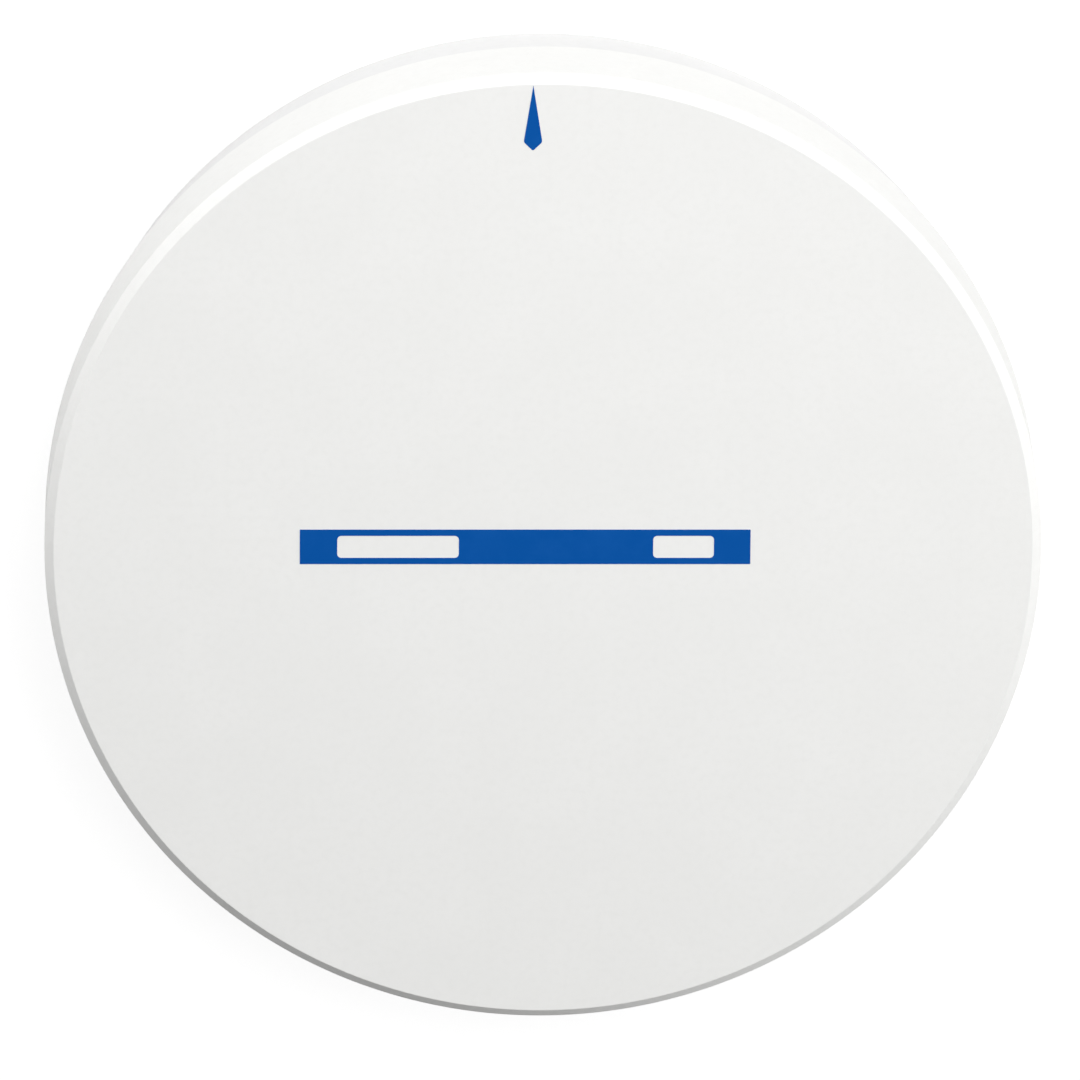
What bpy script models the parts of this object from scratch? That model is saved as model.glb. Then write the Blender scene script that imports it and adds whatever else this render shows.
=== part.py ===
"""Dental milling disc: a pressed and partly sintered ceramic blank for a 98 mm disc holder.

One turned piece, lying on its back. The wide rim is what the holder clamps, and it is flush
with the printed front face. Behind its shoulder the disc steps in to a narrower back boss.
The origin is the middle of the back face, +Z is the front face's normal, and +Y points to the
print's top. Metres.
"""

import math

import bmesh
import bpy

rim_diameter = 0.0985  # fits a holder for 98 mm discs
rim_thickness = 0.010  # clamped between the front face and the shoulder
boss_diameter = 0.095
disc_thickness = 0.020  # front face to back face
front_chamfer = 0.0009  # at 45 degrees, so as wide across the face as it is deep
chamfer_corner_radius = 0.00015
rim_back_edge_radius = 0.0005
boss_edge_radius = 0.0005
shoulder_corner_radius = 0.0003  # left by the tool where the boss meets the shoulder
turning_steps = 144

ink_thickness = 0.00003
ink_root = 0.0004  # how far an ink field reaches into the blank, so that the two join
print_shift = -0.0013  # the whole print sits a little left of the disc's centre line

mark_length = 0.0067  # the pointed mark that shows which way the disc goes into its holder
mark_width = 0.0018
mark_taper = 0.0058  # from the tip to where the mark is widest
mark_margin = 0.00004  # from the tip to the edge of the flat face

bar_length = 0.0445
bar_height = 0.0036
bar_centre_x = -0.0005  # from the print's own centre line
bar_centre_y = 0.00053

blank_colour = (0.79, 0.79, 0.775, 1)
ink_colour = (0.008, 0.083, 0.356, 1)


def clear_scene():
    for old in list(bpy.data.objects):
        bpy.data.objects.remove(old)


def new_collection(name):
    made = bpy.data.collections.new(name)
    bpy.context.scene.collection.children.link(made)
    return made


def plain_material(name, colour, roughness):
    made = bpy.data.materials.new(name)
    made.use_nodes = True
    shader = made.node_tree.nodes["Principled BSDF"]
    shader.inputs["Base Color"].default_value = colour
    shader.inputs["Roughness"].default_value = roughness
    shader.inputs["Metallic"].default_value = 0
    return made


def chalky_ceramic():
    return plain_material("chalky_ceramic", blank_colour, 0.75)


def blue_ink():
    return plain_material("blue_ink", ink_colour, 0.45)


def arc(centre_r, centre_z, radius, start_deg, end_deg, steps):
    """Points of a rounded edge in the turned section, both ends included."""
    points = []
    for i in range(steps + 1):
        angle = math.radians(start_deg + (end_deg - start_deg) * i / steps)
        points.append((centre_r + radius * math.cos(angle), centre_z + radius * math.sin(angle)))
    return points


def flat_face_radius():
    """The front face's flat ends where the chamfer's softened corner begins."""
    return rim_diameter / 2 - front_chamfer - chamfer_corner_radius * math.tan(math.radians(22.5))


def front_edge():
    """The chamfer around the front face, as the two softened corners at its ends."""
    inner = arc(flat_face_radius(), disc_thickness - chamfer_corner_radius, chamfer_corner_radius, 90, 45, 2)
    reach = rim_diameter / 2 - flat_face_radius()
    outer = arc(rim_diameter / 2 - chamfer_corner_radius, disc_thickness - reach,
                chamfer_corner_radius, 45, 0, 2)
    return [*inner, *outer]


def section():
    """Half of the blank's section as (r, z), from the front face's middle out and down to the back's."""
    rim_r = rim_diameter / 2
    boss_r = boss_diameter / 2
    shoulder_z = disc_thickness - rim_thickness
    rim_back_edge = arc(rim_r - rim_back_edge_radius, shoulder_z + rim_back_edge_radius,
                        rim_back_edge_radius, 0, -90, 4)
    shoulder_corner = arc(boss_r + shoulder_corner_radius, shoulder_z - shoulder_corner_radius,
                          shoulder_corner_radius, 90, 180, 3)
    boss_edge = arc(boss_r - boss_edge_radius, boss_edge_radius, boss_edge_radius, 0, -90, 4)
    return [(0, disc_thickness), *front_edge(), *rim_back_edge, *shoulder_corner, *boss_edge, (0, 0)]


def turned_blank(name, material, collection):
    """The section turned about the disc's axis."""
    mesh = bpy.data.meshes.new(name)
    points = [(r, 0, z) for r, z in section()]
    mesh.from_pydata(points, [(i, i + 1) for i in range(len(points) - 1)], [])
    mesh.materials.append(material)
    blank = bpy.data.objects.new(name, mesh)
    collection.objects.link(blank)
    turning = blank.modifiers.new("turning", "SCREW")
    turning.axis = "Z"
    turning.steps = turning.render_steps = turning_steps
    turning.use_merge_vertices = True
    turning.merge_threshold = 0.00001
    return blank


def ink_field(name, outline, material, collection):
    """A flat outline of ink on the front face, made a closed mesh so that it can be joined."""
    curve = bpy.data.curves.new(name, "CURVE")
    curve.dimensions = "2D"
    curve.fill_mode = "BOTH"
    curve.extrude = (ink_thickness + ink_root) / 2
    spline = curve.splines.new("POLY")
    spline.points.add(len(outline) - 1)
    for point, (x, y) in zip(spline.points, outline):
        point.co = (x, y, 0, 1)
    spline.use_cyclic_u = True
    drawn = bpy.data.objects.new(name + "_outline", curve)
    drawn.location = (print_shift, 0, disc_thickness + (ink_thickness - ink_root) / 2)
    collection.objects.link(drawn)

    bpy.context.view_layer.update()
    evaluated = drawn.evaluated_get(bpy.context.evaluated_depsgraph_get())
    mesh = bpy.data.meshes.new_from_object(evaluated)
    shape = bmesh.new()
    shape.from_mesh(mesh)
    bmesh.ops.remove_doubles(shape, verts=shape.verts, dist=0.000001)
    bmesh.ops.recalc_face_normals(shape, faces=shape.faces)
    shape.to_mesh(mesh)
    shape.free()
    mesh.materials.clear()
    mesh.materials.append(material)
    field = bpy.data.objects.new(name, mesh)
    field.matrix_world = drawn.matrix_world.copy()
    bpy.data.objects.remove(drawn)
    field.hide_render = True
    field.display_type = "WIRE"
    collection.objects.link(field)
    return field


def mark_outline():
    """The pointed mark: its tip is on the print's centre line, just inside the flat face's edge."""
    tip_y = math.sqrt((flat_face_radius() - mark_margin) ** 2 - print_shift ** 2)
    widest_y = tip_y - mark_taper
    return [(0, tip_y), (-mark_width / 2, widest_y), (0, tip_y - mark_length), (mark_width / 2, widest_y)]


def bar_outline():
    left, right = bar_centre_x - bar_length / 2, bar_centre_x + bar_length / 2
    low, high = bar_centre_y - bar_height / 2, bar_centre_y + bar_height / 2
    return [(left, low), (right, low), (right, high), (left, high)]


def join_ink(blank, field):
    """Joins an ink field to the blank, with the ink's own material on its faces."""
    union = blank.modifiers.new(field.name, "BOOLEAN")
    union.operation = "UNION"
    union.object = field
    union.material_mode = "TRANSFER"


def shade_round_faces(blank):
    """Smooth over the rounded edges and walls, with the large flat faces kept flat."""
    blank.modifiers["turning"].use_smooth_shade = True
    normals = blank.modifiers.new("flat_faces_flat", "WEIGHTED_NORMAL")
    normals.mode = "FACE_AREA"
    normals.weight = 100


def main():
    clear_scene()
    parts = new_collection("dental_milling_disc")
    fields = new_collection("ink_fields")
    ink = blue_ink()
    blank = turned_blank("milling_disc", chalky_ceramic(), parts)
    join_ink(blank, ink_field("orientation_mark", mark_outline(), ink, fields))
    join_ink(blank, ink_field("label_bar", bar_outline(), ink, fields))
    shade_round_faces(blank)


main()
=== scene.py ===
# Dental milling disc: its finish, its print and a small photo studio.
# Metres. The disc lies on its back face at the origin. +Z is out of the printed face,
# and +Y is the print's top.

import math

import bmesh
import bpy
from mathutils import Matrix, Vector


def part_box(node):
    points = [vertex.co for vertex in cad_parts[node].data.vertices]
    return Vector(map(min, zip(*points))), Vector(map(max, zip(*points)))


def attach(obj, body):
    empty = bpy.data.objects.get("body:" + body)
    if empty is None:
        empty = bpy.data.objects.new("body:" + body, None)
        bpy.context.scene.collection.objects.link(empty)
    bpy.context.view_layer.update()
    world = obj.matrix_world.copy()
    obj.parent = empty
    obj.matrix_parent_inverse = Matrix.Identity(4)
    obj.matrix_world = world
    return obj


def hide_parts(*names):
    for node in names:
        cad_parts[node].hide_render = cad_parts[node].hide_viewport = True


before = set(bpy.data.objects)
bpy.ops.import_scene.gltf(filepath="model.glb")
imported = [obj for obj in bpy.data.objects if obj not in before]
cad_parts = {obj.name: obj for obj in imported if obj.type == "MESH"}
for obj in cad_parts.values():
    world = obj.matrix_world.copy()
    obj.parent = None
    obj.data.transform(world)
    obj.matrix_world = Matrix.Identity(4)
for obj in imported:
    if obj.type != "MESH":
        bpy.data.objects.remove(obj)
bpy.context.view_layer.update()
discLow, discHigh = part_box("milling_disc")

filmThickness = 0.00003  # the ink stands this far above the face
rimRadius = discHigh.x
backHeight = discLow.z
faceHeight = discHigh.z - filmThickness

white = (1, 1, 1, 1)
mixFirst, mixSecond, mixResult = 6, 7, 2  # the colour sockets of a Mix node
waveRepeat = 20  # a Wave node's own factor: at scale 1 its bands are 2 pi / 20 apart


def addNode(tree, kind, **settings):
    # a setting is an input where the node has one of that name, and otherwise a property
    node = tree.nodes.new(kind)
    for name, value in settings.items():
        if name in node.inputs:
            node.inputs[name].default_value = value
        else:
            setattr(node, name, value)
    return node


def addNoise(tree, place, scale, detail=3, roughness=0.5):
    noise = addNode(tree, "ShaderNodeTexNoise", Scale=scale, Detail=detail, Roughness=roughness)
    tree.links.new(place, noise.inputs["Vector"])
    return noise.outputs["Fac"]


def spread(tree, value, low, high, lowest=0.3, highest=0.7):
    # what lies between lowest and highest is spread over low to high; most noise does
    span = addNode(tree, "ShaderNodeMapRange")
    tree.links.new(value, span.inputs["Value"])
    span.inputs["From Min"].default_value = lowest
    span.inputs["From Max"].default_value = highest
    span.inputs["To Min"].default_value = low
    span.inputs["To Max"].default_value = high
    return span.outputs["Result"]


def mixColours(tree, amount, first, second, blend="MIX"):
    mix = addNode(tree, "ShaderNodeMix", data_type="RGBA", blend_type=blend)
    tree.links.new(amount, mix.inputs["Factor"])
    for socket, colour in ((mix.inputs[mixFirst], first), (mix.inputs[mixSecond], second)):
        if isinstance(colour, tuple):
            socket.default_value = (*colour, 1)
        else:
            tree.links.new(colour, socket)
    return mix.outputs[mixResult]


def bumpOn(tree, height, strength, distance, under=None):
    bump = addNode(tree, "ShaderNodeBump", Strength=strength, Distance=distance)
    tree.links.new(height, bump.inputs["Height"])
    if under:
        tree.links.new(under, bump.inputs["Normal"])
    return bump.outputs["Normal"]


def addGrain(tree, place, look, under=None):
    grain = addNoise(tree, place, look["grainScale"], detail=2)
    return bumpOn(tree, grain, look["grainStrength"], look["grainHeight"], under)


def startMaterial(name):
    material = bpy.data.materials.new(name)
    material.use_nodes = True
    tree = material.node_tree
    place = addNode(tree, "ShaderNodeTexCoord").outputs["Object"]
    return material, tree, place


def dressShader(tree, look, colour, patches, normal):
    # the patches are a noise that makes some places rougher than others
    shader = tree.nodes["Principled BSDF"]
    shader.inputs["Specular IOR Level"].default_value = look["specular"]
    tree.links.new(colour, shader.inputs["Base Color"])
    tree.links.new(spread(tree, patches, *look["roughness"]), shader.inputs["Roughness"])
    tree.links.new(normal, shader.inputs["Normal"])


chalk = {
    "colour": (0.836, 0.836, 0.822),
    "paleClouds": (0.852, 0.852, 0.839),
    "cloudScale": 130,
    "greySpecks": (0.82, 0.82, 0.805),
    "speckScale": 1300,
    "speckMost": 0.6,  # how far a speck's colour is mixed in at most
    "speckRange": (0.45, 0.75),  # of the noise: below it there is no speck, above it a full one
    "paintedBossShade": (0.93, 0.93, 0.941),  # painted shade: the boss's wall below the shoulder is greyed, as if shaded by the rim's overhang
    "paintedShadeFade": (0.0006, 0.0002),  # below the shoulder, where the painted shade is full and where it ends
    "turningPitch": 0.00022,  # the tool's feed on the walls
    "turningHeight": 0.000004,
    "turningStrength": 0.5,
    "turningWander": 0.6,  # the lines aren't quite straight
    "wanderScale": 0.4,
    "grainScale": 5200,
    "grainHeight": 0.000012,
    "grainStrength": 0.4,
    "roughness": (0.72, 0.82),
    "specular": 0.25,
}


def chalkyCeramic():
    # pressed and half sintered powder: matte, faintly clouded, with a very fine grain
    material, tree, place = startMaterial("chalkyCeramic")
    clouds = addNoise(tree, place, chalk["cloudScale"], detail=4, roughness=0.6)
    specks = addNoise(tree, place, chalk["speckScale"])
    speckled = spread(tree, specks, 0, chalk["speckMost"], *chalk["speckRange"])
    skin = mixColours(tree, spread(tree, clouds, 0, 1), chalk["colour"], chalk["paleClouds"])
    skin = mixColours(tree, speckled, skin, chalk["greySpecks"])

    # painted shade: the boss's wall under the rim's overhang is darkened, fading out just below
    # the shoulder
    height = addNode(tree, "ShaderNodeSeparateXYZ")
    tree.links.new(place, height.inputs[0])
    fullShade, noShade = (shoulderHeight - below for below in chalk["paintedShadeFade"])
    paintedShadeMask = spread(tree, height.outputs["Z"], 1, 0, fullShade, noShade)
    skin = mixColours(tree, paintedShadeMask, skin, chalk["paintedBossShade"], "MULTIPLY")

    turning = addNode(tree, "ShaderNodeTexWave", wave_type="BANDS", bands_direction="Z")
    turning.inputs["Scale"].default_value = 2 * math.pi / (waveRepeat * chalk["turningPitch"])
    turning.inputs["Distortion"].default_value = chalk["turningWander"]
    turning.inputs["Detail Scale"].default_value = chalk["wanderScale"]
    tree.links.new(place, turning.inputs["Vector"])
    lines = bumpOn(tree, turning.outputs["Fac"], chalk["turningStrength"], chalk["turningHeight"])
    dressShader(tree, chalk, skin, specks, addGrain(tree, place, chalk, lines))
    return material


ink = {
    "colour": (0.0012, 0.08, 0.347),
    "thinColour": (0.0043, 0.0915, 0.375),  # where the print is a little thin
    "thinScale": 420,
    "thinMost": 0.8,
    "thinRange": (0.45, 0.8),  # of the noise, as for the specks
    "grainScale": 5200,
    "grainHeight": 0.000008,
    "grainStrength": 0.4,
    "roughness": (0.5, 0.62),
    "specular": 0.05,
}


def printedInk():
    # one solid coat over the chalk, whose grain still shows in it
    material, tree, place = startMaterial("printedInk")
    thin = addNoise(tree, place, ink["thinScale"], detail=5, roughness=0.65)
    thinned = spread(tree, thin, 0, ink["thinMost"], *ink["thinRange"])
    colour = mixColours(tree, thinned, ink["colour"], ink["thinColour"])
    dressShader(tree, ink, colour, thin, addGrain(tree, place, ink))
    return material


def extrudeBy(shape, geom, rise):
    made = bmesh.ops.extrude_face_region(shape, geom=geom)["geom"]
    moved = [part for part in made if isinstance(part, bmesh.types.BMVert)]
    bmesh.ops.translate(shape, vec=(0, 0, rise), verts=moved)
    return made


def soften(shape, geom, size, segments, affect):
    # rounds the edges, or with "VERTICES" the corners of a flat outline
    bmesh.ops.bevel(shape, geom=geom, offset=size, offset_type="OFFSET", segments=segments,
                    profile=0.5, affect=affect, material=-1)


def finishPiece(name, shape, material):
    mesh = bpy.data.meshes.new(name)
    bmesh.ops.recalc_face_normals(shape, faces=shape.faces)
    shape.to_mesh(mesh)
    shape.free()
    mesh.materials.append(material)
    piece = bpy.data.objects.new(name, mesh)
    bpy.context.scene.collection.objects.link(piece)
    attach(piece, "root")
    return piece


blank = {
    "sides": 288,
    "rimThickness": 0.010,
    "shoulderWidth": 0.00175,  # the boss is this much smaller all round
    "chamfer": 0.0009,
    "chamferCorner": 0.00006,  # how far each softened corner of the chamfer reaches
    "rimBackEdge": 0.0005,
    "shoulderCorner": 0.0003,
    "bossEdge": 0.0005,
    "faceWeight": 100,  # how far the large flat faces rule the shading of their edges
}
shoulderHeight = faceHeight - blank["rimThickness"]
ringSearch = 0.1  # a ring's edges are found within this share of their rounding


def roundRing(shape, radius, height, size, segments):
    # rounds the ring of edges at this radius and height; one segment makes it a chamfer
    near = size * ringSearch
    ring = [edge for edge in shape.edges
            if all(abs(corner.co.z - height) < near and abs(corner.co.xy.length - radius) < near
                   for corner in edge.verts)]
    soften(shape, ring, size, segments, affect="EDGES")


def extrudeDown(shape, face, depth):
    # the edges go in with the face, so that no wall is left inside where it was
    made = extrudeBy(shape, [face, *face.edges], -depth)
    return next(part for part in made if isinstance(part, bmesh.types.BMFace))


def buildBlank(ceramic):
    shape = bmesh.new()
    bmesh.ops.create_circle(shape, cap_ends=True, segments=blank["sides"], radius=rimRadius,
                            matrix=Matrix.Translation((0, 0, faceHeight)))
    shape.faces.ensure_lookup_table()
    lowerCap = extrudeDown(shape, shape.faces[0], blank["rimThickness"])
    bmesh.ops.inset_individual(shape, faces=[lowerCap], thickness=blank["shoulderWidth"])
    extrudeDown(shape, lowerCap, shoulderHeight - backHeight)

    bossRadius = rimRadius - blank["shoulderWidth"]
    chamfer, corner = blank["chamfer"], blank["chamferCorner"]
    roundRing(shape, rimRadius, faceHeight, chamfer, segments=1)
    roundRing(shape, rimRadius - chamfer, faceHeight, corner, segments=3)
    roundRing(shape, rimRadius, faceHeight - chamfer, corner, segments=3)
    roundRing(shape, rimRadius, shoulderHeight, blank["rimBackEdge"], segments=5)
    roundRing(shape, bossRadius, shoulderHeight, blank["shoulderCorner"], segments=4)
    roundRing(shape, bossRadius, backHeight, blank["bossEdge"], segments=6)

    piece = finishPiece("milling_blank", shape, ceramic)
    piece.data.shade_smooth()
    normals = piece.modifiers.new("flatFacesFlat", "WEIGHTED_NORMAL")
    normals.weight = blank["faceWeight"]
    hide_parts("milling_disc")
    return piece


printing = {
    "shift": -0.0013,  # the print sits a little left of the disc's middle
    "sink": 0.00001,  # the film's underside is this far inside the blank
}
filmBase = faceHeight - printing["sink"]


def finishFilm(name, shape, inkMaterial):
    # turns a flat outline on the face into a closed film of ink
    extrudeBy(shape, list(shape.faces), filmThickness + printing["sink"])
    return finishPiece(name, shape, inkMaterial)


mark = {
    "length": 0.0067,
    "width": 0.00183,
    "taper": 0.0058,  # from the tip to where the mark is widest
    "margin": 0.00004,  # from the tip to the edge of the flat face
    "softCorner": 0.00018,
}


def buildMark(inkMaterial):
    # a pointed mark that shows which way the disc goes into its holder
    flatRadius = rimRadius - blank["chamfer"] - blank["chamferCorner"]
    tip = math.sqrt((flatRadius - mark["margin"]) ** 2 - printing["shift"] ** 2)
    widest = tip - mark["taper"]
    half = mark["width"] / 2
    corners = [(0, tip), (-half, widest), (0, tip - mark["length"]), (half, widest)]
    shape = bmesh.new()
    verts = [shape.verts.new((printing["shift"] + x, y, filmBase)) for x, y in corners]
    bmesh.ops.contextual_create(shape, geom=verts)
    # the tip stays sharp
    soften(shape, verts[1:], mark["softCorner"], segments=4, affect="VERTICES")
    return finishFilm("orientation_mark", shape, inkMaterial)


bar = {
    "length": 0.0445,
    "height": 0.0036,
    "centre": (-0.0005, 0.00053),  # from the print's own centre line
    "corner": 0.00006,
    "windows": [(-0.01255, 0.012), (0.01564, 0.006)],  # middles, from the bar's own, and widths
    "windowHeight": 0.0023,
    "windowCorner": 0.0004,
}


def addRoundedPatch(shape, middle, length, height, corner):
    # a square of 1 m, brought to its length and height
    place = Matrix.Translation(middle) @ Matrix.Diagonal((length, height, 1, 1))
    patch = bmesh.ops.create_grid(shape, x_segments=1, y_segments=1, size=0.5, matrix=place)
    soften(shape, patch["verts"], corner, segments=5, affect="VERTICES")


def buildBar(inkMaterial):
    # a plain bar with two blank windows to write in, where the bare ceramic shows
    centreX, centreY = bar["centre"]
    middle = Vector((printing["shift"] + centreX, centreY, filmBase))
    shape = bmesh.new()
    addRoundedPatch(shape, middle, bar["length"], bar["height"], bar["corner"])
    for along, width in bar["windows"]:
        windowMiddle = middle + Vector((along, 0, 0))
        addRoundedPatch(shape, windowMiddle, width, bar["windowHeight"], bar["windowCorner"])
    bmesh.ops.delete(shape, geom=list(shape.faces), context="FACES_ONLY")
    bmesh.ops.triangle_fill(shape, use_beauty=True, edges=list(shape.edges), normal=(0, 0, 1))
    return finishFilm("label_bar", shape, inkMaterial)


camera = {
    "aim": (-0.00034, 0.00124),  # on the printed face
    "distance": 1.5996,
    "elevation": 70.98,
    "azimuth": 93.69,  # from +X, so the camera stands beyond the print's top
    "roll": 0.41,
    "lens": 540.2,
    "sensor": 36,
    "clip": (0.01, 50),
}


def direction(azimuth, elevation):
    a, e = math.radians(azimuth), math.radians(elevation)
    return Vector((math.cos(a) * math.cos(e), math.sin(a) * math.cos(e), math.sin(e)))


def addCamera():
    eye = bpy.data.cameras.new("camera")
    eye.lens, eye.sensor_width, eye.sensor_fit = camera["lens"], camera["sensor"], "HORIZONTAL"
    eye.clip_start, eye.clip_end = camera["clip"]
    back = direction(camera["azimuth"], camera["elevation"])
    right = Vector((0, 1, 0)).cross(back).normalized()  # the print's top is the picture's top
    turn = Matrix((right, back.cross(right), back)).transposed().to_4x4()
    roll = Matrix.Rotation(math.radians(camera["roll"]), 4, "Z")
    stand = Vector((*camera["aim"], faceHeight)) + camera["distance"] * back
    placed = bpy.data.objects.new("camera", eye)
    bpy.context.scene.collection.objects.link(placed)
    placed.matrix_world = Matrix.Translation(stand) @ turn @ roll
    bpy.context.scene.camera = placed


lamps = {
    "top": {"azimuth": 60, "elevation": 65, "distance": 0.6, "size": 0.4, "power": 2.98},
    "right": {"azimuth": 0, "elevation": 15, "distance": 1.0, "size": 0.5, "power": 4.15},
    "rear": {"azimuth": 120, "elevation": 15, "distance": 1.0, "size": 0.5, "power": 4.15},
    "left": {"azimuth": 150, "elevation": 15, "distance": 1.0, "size": 0.5, "power": 1.4},
}


def addLamp(name, azimuth, elevation, distance, size, power):
    # a square panel that faces the disc
    light = bpy.data.lights.new(name, "AREA")
    light.size, light.energy = size, power
    lamp = bpy.data.objects.new(name, light)
    bpy.context.scene.collection.objects.link(lamp)
    towards = direction(azimuth, elevation)
    lamp.location = towards * distance
    lamp.rotation_euler = towards.to_track_quat("Z", "Y").to_euler()


def seenDirectly(tree):
    # 1 for what the camera sees, straight, mirrored or through glass
    path = addNode(tree, "ShaderNodeLightPath")
    most = path.outputs["Is Camera Ray"]
    for name in ("Is Glossy Ray", "Is Transmission Ray"):
        either = addNode(tree, "ShaderNodeMath", operation="MAXIMUM")
        tree.links.new(most, either.inputs[0])
        tree.links.new(path.outputs[name], either.inputs[1])
        most = either.outputs[0]
    return most


def showInstead(tree, real, shown, output):
    # the light comes from the real shader, and the camera sees the shown one
    mix = addNode(tree, "ShaderNodeMixShader")
    tree.links.new(seenDirectly(tree), mix.inputs["Fac"])
    tree.links.new(real.outputs[0], mix.inputs[1])
    tree.links.new(shown.outputs[0], mix.inputs[2])
    tree.links.new(mix.outputs[0], tree.nodes[output].inputs["Surface"])


skyLight = 0.07


def lightSky():
    world = bpy.data.worlds.new("paleSky")
    bpy.context.scene.world = world
    world.use_nodes = True
    tree = world.node_tree
    ambient = tree.nodes["Background"]
    ambient.inputs["Color"].default_value = white
    ambient.inputs["Strength"].default_value = skyLight
    plain = addNode(tree, "ShaderNodeBackground", Color=white)
    showInstead(tree, ambient, plain, "World Output")


floor = {
    "size": 8,
    "height": -0.00002,  # just clear of the disc's back face
    "colour": (0.8, 0.8, 0.8, 1),
    "glow": 0.87,  # the camera sees this much of even white, and the rest of lit paper
    "paper": (0.24, 0.24, 0.24, 1),
    "fade": (0.12, 0.5),  # from the middle: here the glow rises to plain white, past the lamps
}


def whitePaper():
    material = bpy.data.materials.new("whitePaper")
    material.use_nodes = True
    tree = material.node_tree
    tree.nodes.remove(tree.nodes["Principled BSDF"])
    lit = addNode(tree, "ShaderNodeBsdfDiffuse", Color=floor["colour"])
    paper = addNode(tree, "ShaderNodeBsdfDiffuse", Color=floor["paper"])
    glow = addNode(tree, "ShaderNodeEmission")
    away = addNode(tree, "ShaderNodeVectorMath", operation="LENGTH")
    tree.links.new(addNode(tree, "ShaderNodeTexCoord").outputs["Object"], away.inputs[0])
    rising = spread(tree, away.outputs["Value"], floor["glow"], 1, *floor["fade"])
    tree.links.new(rising, glow.inputs["Strength"])
    seen = addNode(tree, "ShaderNodeAddShader")
    tree.links.new(paper.outputs[0], seen.inputs[0])
    tree.links.new(glow.outputs[0], seen.inputs[1])
    showInstead(tree, lit, seen, "Material Output")
    return material


def addFloor():
    shape = bmesh.new()
    bmesh.ops.create_grid(shape, x_segments=1, y_segments=1, size=floor["size"] / 2,
                          matrix=Matrix.Translation((0, 0, floor["height"])))
    mesh = bpy.data.meshes.new("floor")
    shape.to_mesh(mesh)
    shape.free()
    mesh.materials.append(whitePaper())
    paper = bpy.data.objects.new("floor", mesh)
    bpy.context.scene.collection.objects.link(paper)


print("camera")
addCamera()
print("ceramic blank")
buildBlank(chalkyCeramic())
print("print on the face")
coat = printedInk()
buildMark(coat)
buildBar(coat)
print("floor, sky and lamps")
addFloor()
lightSky()
for lampName, settings in lamps.items():
    addLamp(lampName, **settings)
bpy.context.scene.view_settings.view_transform = "Standard"
